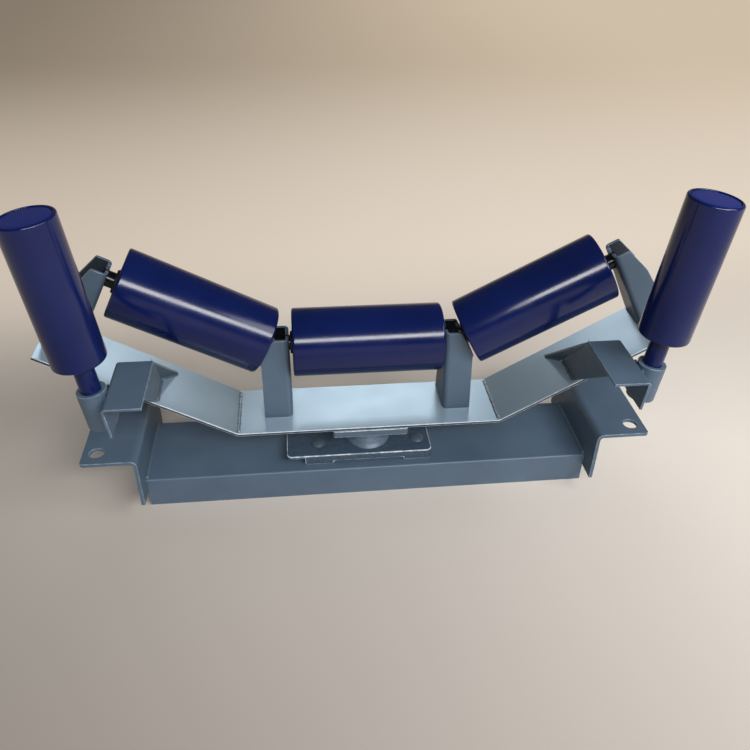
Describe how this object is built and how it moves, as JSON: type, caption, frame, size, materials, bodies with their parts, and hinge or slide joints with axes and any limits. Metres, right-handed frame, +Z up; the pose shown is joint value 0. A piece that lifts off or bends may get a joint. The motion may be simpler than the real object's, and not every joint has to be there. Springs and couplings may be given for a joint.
{
  "type": "self-aligning training idler",
  "caption": "Troughed conveyor idler on a swivelling frame: horizontal and inclined belt rollers, upright guide rollers on arms, and a channel base with bolted feet and a king-pin pivot.",
  "frame": {"origin": "on the swivel axis, in the plane of the feet's undersides, midway between the four foot bolts", "axes": "+X along the centre roller to the right as seen from the guide roller side, +Y back along the belt's run, away from the guide rollers, +Z up along the swivel axis"},
  "size_m": [0.8046, 0.275, 0.4506],
  "materials": {
    "frame_grey": "satin slate-grey paint",
    "casting_grey": "cast surface under the same grey paint",
    "fastener_grey": "painted over with the frame",
    "roller_blue": "smooth glossy navy coating",
    "housing_black": "pressed steel, black",
    "seal_black": "matt black",
    "shaft_black": "blackened steel",
    "bearing_steel": "ground steel",
    "bush_bronze": "turned bronze"
  },
  "bodies": {
    "base_frame": {"base_beam": "frame_grey", "left_foot": "frame_grey", "right_foot": "frame_grey", "pivot_base_casting": "casting_grey", "pivot_base_bolts": "fastener_grey", "pivot_base_washers": "fastener_grey", "pivot_base_nuts": "fastener_grey", "pivot_bush": "bush_bronze", "thrust_bearing_lower_race": "bearing_steel"},
    "swivel_frame": {"cross_plate": "frame_grey", "pivot_top_plate": "frame_grey", "king_pin": "bearing_steel", "king_pin_washer": "bearing_steel", "king_pin_nut": "bearing_steel", "thrust_bearing_upper_race": "bearing_steel", "thrust_bearing_balls": "bearing_steel", "left_centre_bracket": "frame_grey", "right_centre_bracket": "frame_grey", "left_shaft_seat": "frame_grey", "right_shaft_seat": "frame_grey", "left_end_bracket": "frame_grey", "right_end_bracket": "frame_grey", "left_guide_arm": "frame_grey", "right_guide_arm": "frame_grey", "left_arm_web": "frame_grey", "right_arm_web": "frame_grey", "left_arm_brace": "frame_grey", "right_arm_brace": "frame_grey", "left_guide_socket": "frame_grey", "right_guide_socket": "frame_grey", "centre_roller_shaft": "shaft_black", "left_wing_roller_shaft": "shaft_black", "right_wing_roller_shaft": "shaft_black", "left_guide_spindle": "roller_blue", "right_guide_spindle": "roller_blue", "guide_spindle_nuts": "fastener_grey", "guide_spindle_washers": "fastener_grey", "roller_bearing_inner_rings": "bearing_steel", "guide_bearing_inner_rings": "bearing_steel"},
    "centre_roller": {"centre_roller_shell": "roller_blue", "centre_roller_end_housings": "housing_black", "centre_roller_bearing_outer_rings": "bearing_steel", "centre_roller_seals": "seal_black"},
    "left_wing_roller": {"left_wing_roller_shell": "roller_blue", "left_wing_roller_end_housings": "housing_black", "left_wing_roller_bearing_outer_rings": "bearing_steel", "left_wing_roller_seals": "seal_black"},
    "right_wing_roller": {"right_wing_roller_shell": "roller_blue", "right_wing_roller_end_housings": "housing_black", "right_wing_roller_bearing_outer_rings": "bearing_steel", "right_wing_roller_seals": "seal_black"},
    "left_guide_roller": {"left_guide_roller_shell": "roller_blue", "left_guide_roller_top_cap": "roller_blue", "left_guide_roller_housings": "housing_black", "left_guide_roller_bearing_outer_rings": "bearing_steel"},
    "right_guide_roller": {"right_guide_roller_shell": "roller_blue", "right_guide_roller_top_cap": "roller_blue", "right_guide_roller_housings": "housing_black", "right_guide_roller_bearing_outer_rings": "bearing_steel"}
  },
  "joints": [
    {"name": "swivel", "type": "hinge", "parent": "base_frame", "child": "swivel_frame", "pos_m": [0, 0, 0], "axis": [0, 0, 1], "range_deg": [-10, 10]},
    {"name": "centre_roller_spin", "type": "hinge", "parent": "swivel_frame", "child": "centre_roller", "pos_m": [0, 0.016, 0.1049], "axis": [1, 0, 0], "continuous": true},
    {"name": "left_wing_roller_spin", "type": "hinge", "parent": "swivel_frame", "child": "left_wing_roller", "pos_m": [-0.13189, 0.016, 0.1097], "axis": [-0.8829, 0, 0.4695], "continuous": true},
    {"name": "right_wing_roller_spin", "type": "hinge", "parent": "swivel_frame", "child": "right_wing_roller", "pos_m": [0.13189, 0.016, 0.1097], "axis": [0.8829, 0, 0.4695], "continuous": true},
    {"name": "left_guide_roller_spin", "type": "hinge", "parent": "swivel_frame", "child": "left_guide_roller", "pos_m": [-0.30311, -0.149, 0.11517], "axis": [-0.1097, 0, 0.994], "continuous": true},
    {"name": "right_guide_roller_spin", "type": "hinge", "parent": "swivel_frame", "child": "right_guide_roller", "pos_m": [0.30311, -0.149, 0.11517], "axis": [0.1097, 0, 0.994], "continuous": true}
  ]
}
